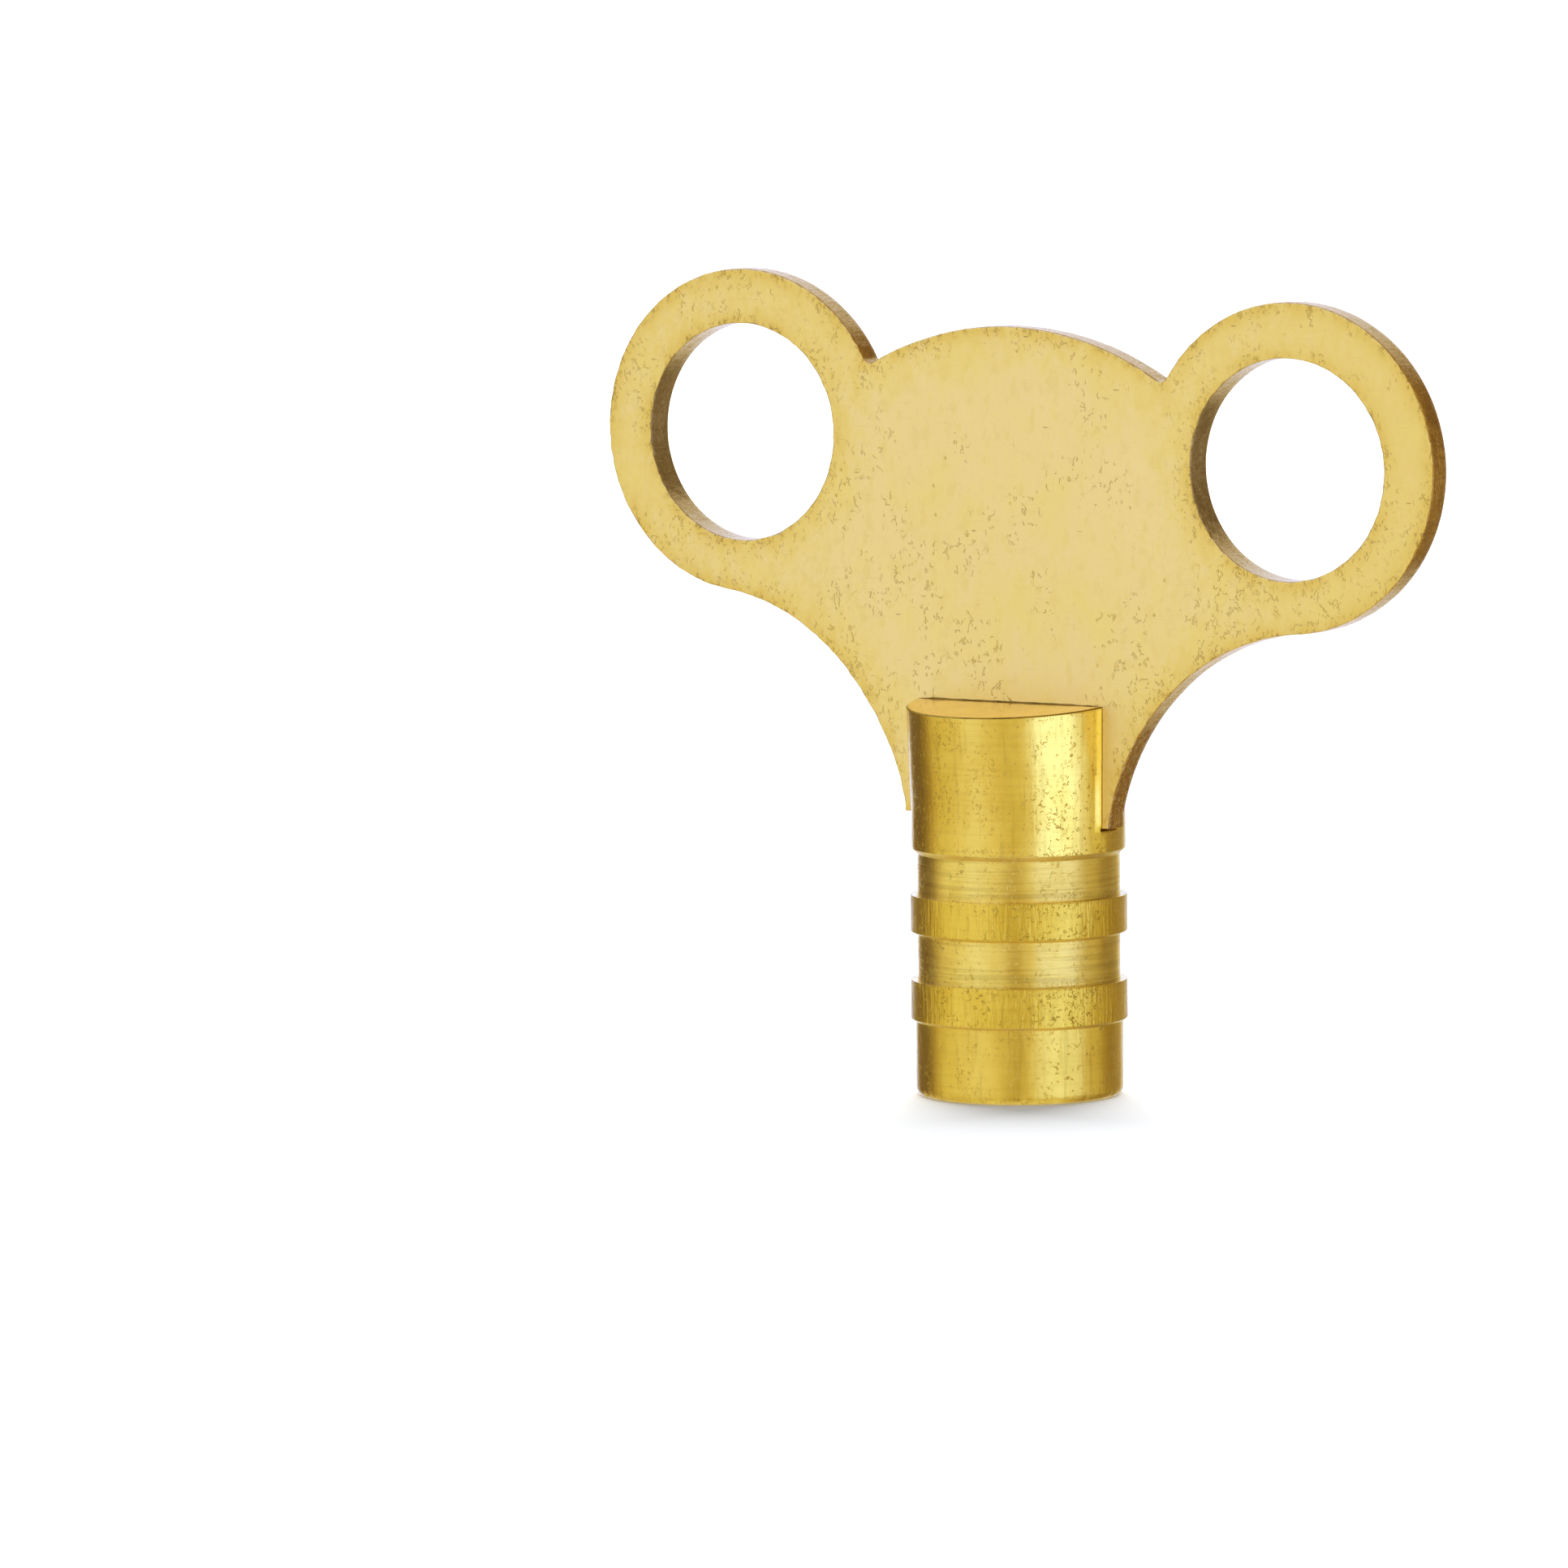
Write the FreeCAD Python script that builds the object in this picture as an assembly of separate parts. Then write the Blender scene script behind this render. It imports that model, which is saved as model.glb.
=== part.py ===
import FreeCAD, Part
import math
import os

# Radiator bleed key: a stamped brass wing plate pressed into a slot across the top of a turned
# brass barrel. The barrel's lower end is a square socket that turns the radiator's vent screw.
# Millimetres. The origin is the centre of the socket's mouth, +Z runs up the barrel to the wings,
# X runs along the wings and Y through the plate's thickness.

V = FreeCAD.Vector

# Barrel, turned from round bar
rib_r = 4.50
upper_r = 4.45
groove_r = 4.22
end_r = 4.31
top_z = 16.35
upper_bottom_z = 10.30
rib_height = 1.80
rib_pitch = 3.54
rib1_top_z = 8.37
mouth_chamfer = 0.30
mouth_face_chamfer = 0.36

# Socket: a drilled hole with a square broached through it
square_af = 5.10
drill_r = 2.85
square_depth = 7.60
drill_depth = 8.20
drill_point_deg = 118.0
countersink_r = 3.66

# Slot for the wing plate, and the jaws on each side, squeezed outwards as the plate was pressed in
plate_t = 1.30
slot_floor_z = 11.17
grip_height = 1.00
jaw_lean_deg = 4.2

# Wing plate outline, before it is pressed in slightly askew
ear_x = 13.22
ear_z = 26.86
ear_r = 6.77
finger_hole_r = 4.50
finger_hole_drop = 0.07
notch_r = 0.60
dome_z = 18.08
dome_r = 13.84
flank_x = 14.94
flank_z = 10.19
tang_z = 11.45
edge_round = 0.10
plate_roll_deg = 1.8
plate_shift_x = -0.28
roll_z = 12.0


def ring(r, z0, z1):
    return Part.makeCylinder(r, z1 - z0, V(0, 0, z0))


def turned_profile():
    """Half outline of the barrel up to the jaws, from the axis round the outside and back."""
    pts = [(0, 0), (end_r - mouth_chamfer, 0), (end_r, mouth_face_chamfer)]
    for rib, below in ((1, end_r), (0, groove_r)):
        rib_top = rib1_top_z - rib * rib_pitch
        rib_bottom = rib_top - rib_height
        pts.append((below, rib_bottom))
        pts.append((rib_r, rib_bottom + rib_r - below))
        pts.append((rib_r, rib_top))
        pts.append((groove_r, rib_top))
    pts.append((groove_r, upper_bottom_z - (upper_r - groove_r)))
    pts.append((upper_r, upper_bottom_z))
    pts.append((upper_r, slot_floor_z + grip_height))
    pts.append((0, slot_floor_z + grip_height))
    return pts


def turned_body():
    pts = [V(r, 0, z) for r, z in turned_profile()]
    pts.append(pts[0])
    face = Part.Face(Part.makePolygon(pts))
    return face.revolve(V(0, 0, 0), V(0, 0, 1), 360)


def jaw(side):
    """One half of the top, on the +Y or -Y side, swelling outwards from the grip line."""
    z0 = slot_floor_z + grip_height
    full = ring(upper_r, z0 - 0.6, top_z)
    pivot = V(0, side * plate_t / 2, z0)
    full.rotate(pivot, V(1, 0, 0), -side * jaw_lean_deg)
    # the inner face stays flat against the plate
    keep_y = plate_t / 2 if side > 0 else -plate_t / 2 - 10
    keep = Part.makeBox(12, 10, 12, V(-6, keep_y, z0 - 2))
    return full.common(keep)


def socket_hole():
    """Drilled bore with its point, broached square and countersink, as one tool."""
    half = square_af / 2
    bore = ring(drill_r, -1, drill_depth)
    point_h = drill_r / math.tan(math.radians(drill_point_deg / 2))
    point = Part.makeCone(drill_r, 0, point_h, V(0, 0, drill_depth))
    square = Part.makeBox(square_af, square_af, square_depth + 1, V(-half, -half, -1))
    sink_h = countersink_r - drill_r + 0.6
    sink = Part.makeCone(countersink_r, countersink_r - sink_h, sink_h, V(0, 0, 0))
    return bore.fuse([point, square, sink]).removeSplitter()


def make_barrel():
    body = turned_body()
    slot = Part.makeBox(12, plate_t, 8, V(-6, -plate_t / 2, slot_floor_z))
    body = body.cut(slot)
    body = body.fuse([jaw(1), jaw(-1)])
    body = body.cut(socket_hole())
    return body.removeSplitter()


def angle(cx, cz, x, z):
    return math.atan2(z - cz, x - cx)


def on_circle(cx, cz, r, a):
    return V(cx + r * math.cos(a), 0, cz + r * math.sin(a))


def arc_edge(cx, cz, r, a0, a1):
    mid = on_circle(cx, cz, r, (a0 + a1) / 2)
    return Part.Arc(on_circle(cx, cz, r, a0), mid, on_circle(cx, cz, r, a1)).toShape()


def wing_outline():
    """Closed outline of the plate: tang, hollow flanks, round ears and dome."""
    gap = math.hypot(flank_x - ear_x, flank_z - ear_z)
    flank_r = gap - ear_r
    # flank, from the tang's corner up to where it runs into the ear
    a_tang = math.pi - math.asin((tang_z - flank_z) / flank_r)
    a_join = angle(flank_x, flank_z, ear_x, ear_z)
    # notch, where the ear's circle crosses the dome's
    reach = math.hypot(ear_x, ear_z - dome_z)
    along = (ear_r ** 2 - dome_r ** 2 + reach ** 2) / (2 * reach)
    off = math.sqrt(ear_r ** 2 - along ** 2)
    ux = -ear_x / reach
    uz = (dome_z - ear_z) / reach
    notch_x = ear_x + along * ux + off * uz
    notch_z = ear_z + along * uz - off * ux
    e0 = angle(ear_x, ear_z, flank_x, flank_z)
    e1 = angle(ear_x, ear_z, notch_x, notch_z)
    if e1 < e0:
        e1 += 2 * math.pi
    right_flank = arc_edge(flank_x, flank_z, flank_r, a_tang, a_join)
    right_ear = arc_edge(ear_x, ear_z, ear_r, e0, e1)
    d0 = angle(0, dome_z, notch_x, notch_z)
    dome = arc_edge(0, dome_z, dome_r, d0, math.pi - d0)
    left_ear = arc_edge(-ear_x, ear_z, ear_r, math.pi - e1, math.pi - e0)
    left_flank = arc_edge(-flank_x, flank_z, flank_r, math.pi - a_join, math.pi - a_tang)
    foot_x = flank_x + flank_r * math.cos(a_tang)
    foot = Part.makeLine(V(-foot_x, 0, tang_z), V(foot_x, 0, tang_z))
    return Part.Wire([right_flank, right_ear, dome, left_ear, left_flank, foot])


def notch_edges(plate):
    """The two edges through the thickness where an ear meets the dome."""
    found = []
    for e in plate.Edges:
        box = e.BoundBox
        through = box.YLength > plate_t - 0.01 and box.XLength < 1e-4
        between = abs(box.XMin) < ear_x - ear_r / 2 and box.ZMin > ear_z
        if through and between:
            found.append(e)
    return found


def wing_blank():
    face = Part.Face(wing_outline())
    plate = face.extrude(V(0, plate_t, 0))
    plate.translate(V(0, -plate_t / 2, 0))
    plate = plate.makeFillet(notch_r, notch_edges(plate))
    for side in (-1, 1):
        start = V(side * ear_x, -plate_t / 2 - 1, ear_z - finger_hole_drop)
        hole = Part.makeCylinder(finger_hole_r, plate_t + 2, start, V(0, 1, 0))
        plate = plate.cut(hole)
    return plate


def broken_edges(plate):
    """The edges that the stamping tool has rolled over, round both faces."""
    found = []
    for e in plate.Edges:
        box = e.BoundBox
        flat = box.YLength < 1e-4
        on_face = abs(abs(box.YMin) - plate_t / 2) < 1e-4
        above_slot = box.ZMin > tang_z - 0.01 and box.ZMax > top_z
        if flat and on_face and above_slot:
            found.append(e)
    return found


def make_wing_plate():
    plate = wing_blank()
    plate = plate.makeChamfer(edge_round, broken_edges(plate))
    plate.rotate(V(0, 0, roll_z), V(0, 1, 0), plate_roll_deg)
    plate.translate(V(plate_shift_x, 0, 0))
    return plate


os.makedirs("parts", exist_ok=True)
for name, make in (("barrel", make_barrel), ("wing_plate", make_wing_plate)):
    shape = make()
    if len(shape.Solids) == 1:
        shape = shape.Solids[0]
    shape.exportStep("parts/" + name + ".step")
    b = shape.BoundBox
    print(name, shape.isValid(), len(shape.Solids), len(shape.Faces), round(shape.Volume, 2))
    print([round(q, 3) for q in (b.XMin, b.XMax, b.YMin, b.YMax, b.ZMin, b.ZMax)])
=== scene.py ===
import math

import bpy
from mathutils import Matrix, Vector, noise
from mathutils.geometry import delaunay_2d_cdt


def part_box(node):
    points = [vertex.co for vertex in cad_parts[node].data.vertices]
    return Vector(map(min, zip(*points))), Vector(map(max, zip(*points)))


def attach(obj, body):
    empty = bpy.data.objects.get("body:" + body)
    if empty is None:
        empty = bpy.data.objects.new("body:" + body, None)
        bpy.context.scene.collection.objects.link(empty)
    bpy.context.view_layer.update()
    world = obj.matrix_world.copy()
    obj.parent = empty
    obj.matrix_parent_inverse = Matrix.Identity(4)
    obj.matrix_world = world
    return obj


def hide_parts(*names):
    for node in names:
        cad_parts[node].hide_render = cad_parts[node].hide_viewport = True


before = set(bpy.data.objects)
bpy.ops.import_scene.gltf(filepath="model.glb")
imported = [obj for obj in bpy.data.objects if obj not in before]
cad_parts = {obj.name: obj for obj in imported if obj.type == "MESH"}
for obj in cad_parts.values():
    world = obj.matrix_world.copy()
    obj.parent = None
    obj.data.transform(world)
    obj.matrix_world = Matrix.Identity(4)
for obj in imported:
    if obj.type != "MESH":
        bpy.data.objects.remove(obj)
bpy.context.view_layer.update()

# The object is modelled in millimetres and scaled to the frame's metres as each mesh is finished.
MM = 0.001

# ---------------------------------------------------------------- driving sizes, mm
# the turned outside of the barrel, heights from the mouth
RIB_R = 4.50
UPPER_R = 4.45
GROOVE_R = 4.22
END_R = 4.31
BARREL_TOP = 16.35
UPPER_BOTTOM = 10.30
RIB_TOPS = (4.83, 8.37)
RIB_HEIGHT = 1.80
UNDERCUT = 0.13
MOUTH_CHAMFER = 0.30
MOUTH_FACE_CHAMFER = 0.36
MOUTH_NICK_R = 4.22  # where the nicks round the mouth's edge are centred
SKIN_R = 3.95  # everything on the barrel further out than this takes knocks and tool wander

# the socket: a square across its flats, a drilled hole with a point, a countersink
SQUARE_AF = 5.10
DRILL_R = 2.85
SQUARE_DEPTH = 7.60
DRILL_DEPTH = 8.20
DRILL_POINT = 1.71
SINK_R = 3.66

# the slot and its two jaws, which lean outwards above the grip line
PLATE_T = 1.30
SLOT_FLOOR = 11.17
GRIP_TOP = 12.17
JAW_LEAN = math.radians(4.2)
SEAM_GAP = 0.03
SEAM_LIP = 0.10  # burr along the jaws' inner top edges
LIP_WIDTH = 0.30  # burr beside the slot on the barrel's outside
LIP_RISE = 0.065
RIM = 0.055  # bevel round the jaws' tops

# the plate's outline: two ears with holes, a dome between them, hollow flanks and a tang
EAR_X = 13.22
EAR_Z = 26.86
EAR_R = 6.77
HOLE_R = 4.54
HOLE_SHIFT = -0.10  # the finger holes sit slightly to the left in their ears
HOLE_Z = EAR_Z - 0.07
NOTCH_R = 0.36
DOME_Z = 18.08
DOME_R = 13.84
FLANK_X = 14.94
FLANK_Z = 10.19
FLANK_R = math.hypot(FLANK_X - EAR_X, FLANK_Z - EAR_Z) - EAR_R
TANG_Z = 11.45
LEFT_NARROW = -0.20  # the left flank stands this far in near the tang
LEFT_WIDE = 0.09  # and this far out further up
# how the plate sits in the barrel: turned about a point at ROLL_Z and shifted to the left
PLATE_ROLL = math.radians(1.8)
PLATE_SHIFT = -0.28
ROLL_Z = 12.0


def smooth01(t):
    t = min(max(t, 0.0), 1.0)
    return t * t * (3 - 2 * t)


def lerp(a, b, t):
    return a + (b - a) * t


def steps(a, b, spacing):
    """Evenly spaced values from a to b, about that far apart, without b."""
    n = max(1, round(abs(b - a) / spacing))
    return [lerp(a, b, i / n) for i in range(n)]


# ---------------------------------------------------------------- barrel
COLUMN_STEP = 1.2  # degrees between the barrel's columns
COLUMN_CLEAR = 0.45  # degrees kept free beside a column that has to be at an exact angle


def column_angles():
    """Directions of the barrel's columns, with the slot's edges and the socket's corners on them."""
    slot_a = math.degrees(math.asin((PLATE_T / 2 + SEAM_GAP) / UPPER_R))
    half = SQUARE_AF / 2
    cut_a = math.degrees(math.acos(half / DRILL_R))
    special = [s + k for k in (0, 180) for s in (slot_a, 360 - slot_a)]
    special += [90 * k + s * cut_a for k in range(4) for s in (-1, 1)]
    special += [90 * k + 45 for k in range(4)]
    special = sorted(a % 360 for a in special)
    out = list(special)
    for i in range(round(360 / COLUMN_STEP)):
        a = i * COLUMN_STEP
        if min(abs((a - s + 180) % 360 - 180) for s in special) > COLUMN_CLEAR:
            out.append(a)
    return sorted(out), math.radians(slot_a)


def outer_profile():
    """(radius, height, finish) up the outside, from the mouth's outer edge to the slot's floor."""
    pts = []

    def run(r0, z0, r1, z1, finish, spacing=0.12):
        n = max(1, round(math.hypot(r1 - r0, z1 - z0) / spacing))
        for i in range(n):
            t = i / n
            pts.append((lerp(r0, r1, t), lerp(z0, z1, t), finish))

    for k in range(5):
        a = math.pi / 2 * k / 5
        r = END_R - MOUTH_CHAMFER + MOUTH_CHAMFER * math.sin(a)
        pts.append((r, MOUTH_FACE_CHAMFER * (1 - math.cos(a)), "end"))
    z = MOUTH_FACE_CHAMFER
    below = END_R
    for k, top in enumerate(RIB_TOPS):
        low = top - RIB_HEIGHT
        finish = "end" if k == 0 else "groove"
        lip = low + RIB_R - below
        run(below, z, below, lip - UNDERCUT, finish)
        run(below, lip - UNDERCUT, RIB_R, lip, "under", 0.10)
        run(RIB_R, lip, RIB_R, top, "rib")
        run(RIB_R, top, GROOVE_R, top, "ledge", 0.1)
        z = top
        below = GROOVE_R
    run(GROOVE_R, z, GROOVE_R, UPPER_BOTTOM - UPPER_R + GROOVE_R, "groove")
    run(GROOVE_R, UPPER_BOTTOM - UPPER_R + GROOVE_R, UPPER_R, UPPER_BOTTOM, "under", 0.08)
    run(UPPER_R, UPPER_BOTTOM, UPPER_R, SLOT_FLOOR, "upper")
    return pts


def star_radius(a):
    """Radius of the socket's wall: the drilled bore united with the broached square."""
    half = SQUARE_AF / 2
    square = half / max(abs(math.cos(a)), abs(math.sin(a)))
    return max(DRILL_R, square)


def jaw_point(a, z, slot_a, inset=0.0):
    """A point on a jaw's outside: the round wall, swollen outwards above the grip line."""
    x = UPPER_R * math.cos(a)
    y = UPPER_R * math.sin(a)
    side = 1 if y > 0 else -1
    up = max(0.0, z - GRIP_TOP)
    shift = up * math.tan(JAW_LEAN)
    edge_y = PLATE_T / 2 + SEAM_GAP
    # run the angle so that the jaw's edge stays beside the plate
    low = math.asin((edge_y - shift) / UPPER_R)
    quarter = math.asin(abs(y) / UPPER_R)
    q = math.pi / 2 - (math.pi / 2 - quarter) * (math.pi / 2 - low) / (math.pi / 2 - slot_a)
    jx = math.copysign((UPPER_R - inset) * math.cos(q), x)
    jy = side * max(edge_y, shift + (UPPER_R - inset) * math.sin(q))
    share = smooth01(up / (BARREL_TOP - GRIP_TOP))
    drop = (abs(jy) - edge_y) * math.sin(JAW_LEAN) * share
    return Vector((jx, jy, z - drop))


def build_barrel():
    verts = []
    faces = []
    finishes = []

    def add(p):
        verts.append(Vector(p))
        return len(verts) - 1

    def face(ids, finish):
        faces.append(ids)
        finishes.append(finish)

    degs, slot_a = column_angles()
    cols = [math.radians(d) for d in degs]
    n = len(cols)
    edge_y = PLATE_T / 2 + SEAM_GAP

    def in_slot(i):
        """Whether the strip from column i to the next lies in the slot's width."""
        mid = (cols[i] + (cols[(i + 1) % n] + (2 * math.pi if i == n - 1 else 0))) / 2
        return abs(UPPER_R * math.sin(mid)) < edge_y

    # rows below the slot's floor, all the way round
    rows = []
    outer = outer_profile()
    for r, z, _ in outer:
        rows.append([add((r * math.cos(a), r * math.sin(a), z)) for a in cols])
    floor_row = [add((UPPER_R * math.cos(a), UPPER_R * math.sin(a), SLOT_FLOOR)) for a in cols]
    rows.append(floor_row)
    for k in range(len(rows) - 1):
        finish = outer[k][2]
        for i in range(n):
            j = (i + 1) % n
            face([rows[k][i], rows[k][j], rows[k + 1][j], rows[k + 1][i]], finish)

    # jaws: the same columns carried on upwards outside the slot
    heights = steps(SLOT_FLOOR, BARREL_TOP - RIM, 0.13)[1:] + [BARREL_TOP - RIM, BARREL_TOP]
    jaw_rows = [floor_row]
    keep = [i for i in range(n) if not (in_slot(i) and in_slot(i - 1))]
    for z in heights:
        row = {}
        for i in keep:
            row[i] = add(jaw_point(cols[i], z, slot_a, RIM if z == BARREL_TOP else 0.0))
        jaw_rows.append(row)
    for k in range(len(jaw_rows) - 1):
        for i in range(n):
            if in_slot(i):
                continue
            j = (i + 1) % n
            beside = min(abs(verts[jaw_rows[k][q]].y) for q in (i, j)) < edge_y + 0.25
            # the strip beside the slot takes the painted seam highlight
            finish = "rim" if k == len(jaw_rows) - 2 else "seam" if beside else "upper"
            face([jaw_rows[k][i], jaw_rows[k][j], jaw_rows[k + 1][j], jaw_rows[k + 1][i]], finish)

    # columns at the slot's edges: right front, right back, left back, left front
    edges = [i for i in keep if abs(abs(verts[floor_row[i]].y) - edge_y) < 1e-6]
    right_back = next(i for i in edges if cols[i] < 1)
    left_back = next(i for i in edges if 2 < cols[i] < math.pi)
    left_front = next(i for i in edges if math.pi < cols[i] < 4)
    right_front = next(i for i in edges if cols[i] > 5)
    across = 40

    # inner walls of the slot
    bottoms = {}
    tops = {}
    for side, ri, li in ((1, right_back, left_back), (-1, right_front, left_front)):
        grid = []
        for row in jaw_rows:
            a, b = verts[row[ri]], verts[row[li]]
            line = [row[ri]] + [add(a.lerp(b, t / across)) for t in range(1, across)] + [row[li]]
            grid.append(line)
        for k in range(len(grid) - 1):
            for t in range(across):
                quad = [grid[k][t], grid[k][t + 1], grid[k + 1][t + 1], grid[k + 1][t]]
                face(quad if side < 0 else quad[::-1], "slot")
        bottoms[side] = grid[0]
        tops[side] = grid[-1]

    # slot floor, and the D-shaped top of each jaw
    right_arc = [floor_row[i % n] for i in range(right_front + 1, n + right_back)]
    left_arc = [floor_row[i] for i in range(left_back + 1, left_front)]
    floor = bottoms[-1][::-1] + right_arc + bottoms[1] + left_arc
    face(floor, "slot")
    back_arc = [jaw_rows[-1][i] for i in range(right_back + 1, left_back)]
    front_arc = [jaw_rows[-1][i] for i in range(left_front + 1, right_front)]
    for side, arc in ((1, back_arc), (-1, front_arc)):
        edge = tops[side]
        line = []
        for t in range(1, across):
            p = verts[edge[t]]
            w = SEAM_LIP * (0.75 + 0.5 * noise.noise(Vector((p.x * 1.3, side * 5, 2))))
            line.append(add((p.x * 0.985, p.y + side * w, p.z - w * math.sin(JAW_LEAN))))
            p.z += 0.62 * w * min(1.0, (across / 2 - abs(t - across / 2)) / 3)
        strip = [edge[0]] + line + [edge[-1]]
        face(arc + (strip[::-1] if side > 0 else strip), "top")
        for t in range(across):
            quad = [strip[t], strip[t + 1], edge[t + 1], edge[t]]
            quad = [q for m, q in enumerate(quad) if q not in quad[:m]]
            face(quad if side < 0 else quad[::-1], "crease")

    # mouth ring, countersink, star-shaped socket, step and drill point
    mouth_r = END_R - MOUTH_CHAMFER
    inner = []

    def ring(radius, height, finish):
        ids = [add((radius(a) * math.cos(a), radius(a) * math.sin(a), height(a))) for a in cols]
        inner.append((ids, finish))

    for r in steps(mouth_r, SINK_R, 0.12)[1:]:
        ring(lambda a, r=r: r, lambda a: 0.0, "mouth")
    ring(lambda a: SINK_R, lambda a: 0.0, "mouth")
    for t in (0.25, 0.5, 0.75, 1.0):
        ring(
            lambda a, t=t: lerp(SINK_R, star_radius(a), t),
            lambda a, t=t: (SINK_R - star_radius(a)) * t,
            "sink",
        )
    deep = steps(0, 1, 0.04)[1:] + [1.0]
    for t in deep:
        ring(star_radius, lambda a, t=t: lerp(SINK_R - star_radius(a), SQUARE_DEPTH, t), "socket")
    ring(lambda a: DRILL_R * 0.995, lambda a: SQUARE_DEPTH, "socket")
    ring(lambda a: DRILL_R * 0.995, lambda a: DRILL_DEPTH, "socket")
    for t in (0.33, 0.66, 0.9):
        ring(
            lambda a, t=t: DRILL_R * (1 - t),
            lambda a, t=t: DRILL_DEPTH + DRILL_POINT * t,
            "socket",
        )
    tip = add((0, 0, DRILL_DEPTH + DRILL_POINT))
    last = rows[0]
    for ids, finish in inner:
        for i in range(n):
            j = (i + 1) % n
            face([last[j], last[i], ids[i], ids[j]], finish)
        last = ids
    for i in range(n):
        face([last[(i + 1) % n], last[i], tip], "socket")
    return verts, faces, finishes


def mesh_object(name, verts, faces, finishes, slots):
    mesh = bpy.data.meshes.new(name)
    mesh.from_pydata([tuple(v) for v in verts], [], faces)
    order = {slot: k for k, slot in enumerate(slots)}
    for poly, finish in zip(mesh.polygons, finishes):
        poly.material_index = order[finish]
    mesh.validate()
    mesh.update()
    obj = bpy.data.objects.new(name, mesh)
    bpy.context.scene.collection.objects.link(obj)
    return obj


def apply_modifiers(obj):
    bpy.context.view_layer.update()
    dg = bpy.context.evaluated_depsgraph_get()
    done = bpy.data.meshes.new_from_object(obj.evaluated_get(dg))
    obj.modifiers.clear()
    obj.data = done


def soften_edges(obj, width, degrees):
    """A narrow bevel wherever two faces meet at more than this angle."""
    bevel = obj.modifiers.new("edge", "BEVEL")
    bevel.width = width
    bevel.segments = 2
    bevel.limit_method = "ANGLE"
    bevel.angle_limit = math.radians(degrees)
    bevel.use_clamp_overlap = True
    bevel.material = -1
    apply_modifiers(obj)


def shade(obj, degrees):
    """Smooth shading with a crease wherever two faces meet at more than this angle."""
    mesh = obj.data
    mesh.shade_smooth()
    mesh.set_sharp_from_angle(angle=math.radians(degrees))


def dent_field(seed, count, place):
    """Seeded small knocks: each has a centre, a radius and a depth."""
    out = []
    for k in range(count):
        draws = [noise.cell(Vector((seed + k * 1.7, 3.1 * j + 0.5, seed * 0.7))) for j in range(4)]
        out.append(place([draw * 0.5 + 0.5 for draw in draws]))
    return out


def finish_barrel(obj):
    """Tool wander, knocks on the outside and its edges, nicks round the mouth, a lip by the slot."""

    def at(share, r, z):
        a = share * 2 * math.pi
        return Vector((r * math.cos(a), r * math.sin(a), z))

    def on_band(c):
        return at(c[0], UPPER_R, lerp(0.2, 16.2, c[1])), lerp(0.12, 0.34, c[2]), lerp(0.006, 0.022, c[3])

    def on_mouth(c):
        return at(c[0], MOUTH_NICK_R, 0.16), lerp(0.12, 0.26, c[2]), lerp(0.02, 0.055, c[3])

    def on_edges(c):
        heights = (RIB_TOPS[0], RIB_TOPS[1], UPPER_BOTTOM, RIB_TOPS[0] - 1.6)
        place = at(c[0], RIB_R, heights[int(c[1] * 3.99)])
        return place, lerp(0.1, 0.22, c[2]), lerp(0.012, 0.04, c[3])

    knocks = dent_field(seed=11.3, count=170, place=on_band)
    knocks += dent_field(seed=27.9, count=26, place=on_mouth)
    knocks += dent_field(seed=43.1, count=44, place=on_edges)
    edge_y = PLATE_T / 2 + SEAM_GAP
    border = obj.data.attributes.new("border", "FLOAT", "POINT")
    bands = [UPPER_BOTTOM, BARREL_TOP, 0.0]
    for top in RIB_TOPS:
        bands += [top, top - RIB_HEIGHT + 0.28]
    # the knocks sorted into cubes, so that each point looks only at those near it
    cells = {}
    size = 0.5
    for knock in knocks:
        key = tuple(int(math.floor(q / size)) for q in knock[0])
        for dx in (-1, 0, 1):
            for dy in (-1, 0, 1):
                for dz in (-1, 0, 1):
                    cells.setdefault((key[0] + dx, key[1] + dy, key[2] + dz), []).append(knock)
    for v in obj.data.vertices:
        p = v.co
        r = math.hypot(p.x, p.y)
        near = min(abs(p.z - z) for z in bands)
        if p.z > SLOT_FLOOR:
            near = min(near, abs(abs(p.y) - edge_y))
        border.data[v.index].value = math.exp(-near / 0.35)
        if r < SKIN_R:
            continue
        out = Vector((p.x / r, p.y / r, 0))
        move = 0.010 * noise.noise(Vector((p.x * 0.45, p.y * 0.45, p.z * 0.8)))
        move += 0.004 * noise.noise(Vector((p.x * 1.6, p.y * 1.6, p.z * 1.9 + 7)))
        key = tuple(int(math.floor(q / size)) for q in p)
        for c, rad, depth in cells.get(key, ()):
            d = (p - c).length / rad
            if d < 1:
                move -= depth * (1 - d * d) ** 2
        if abs(p.y) < edge_y + 0.12 and p.z > SLOT_FLOOR - 0.05:
            out.y = 0
        if r > GROOVE_R and abs(p.y) < edge_y + LIP_WIDTH and p.z > SLOT_FLOOR:
            share = 1 - max(0.0, abs(p.y) - edge_y) / LIP_WIDTH
            move += LIP_RISE * share * smooth01((p.z - SLOT_FLOOR) / 0.3)
        v.co = p + out * move
    obj.data.update()


# ---------------------------------------------------------------- wing plate
def arc_points(cx, cz, r, a0, a1, spacing):
    """Points along an arc from angle a0 to a1, about that far apart, without the last."""
    n = max(2, round(abs(a1 - a0) * r / spacing))
    angles = [lerp(a0, a1, i / n) for i in range(n)]
    return [(cx + r * math.cos(a), cz + r * math.sin(a)) for a in angles]


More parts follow.
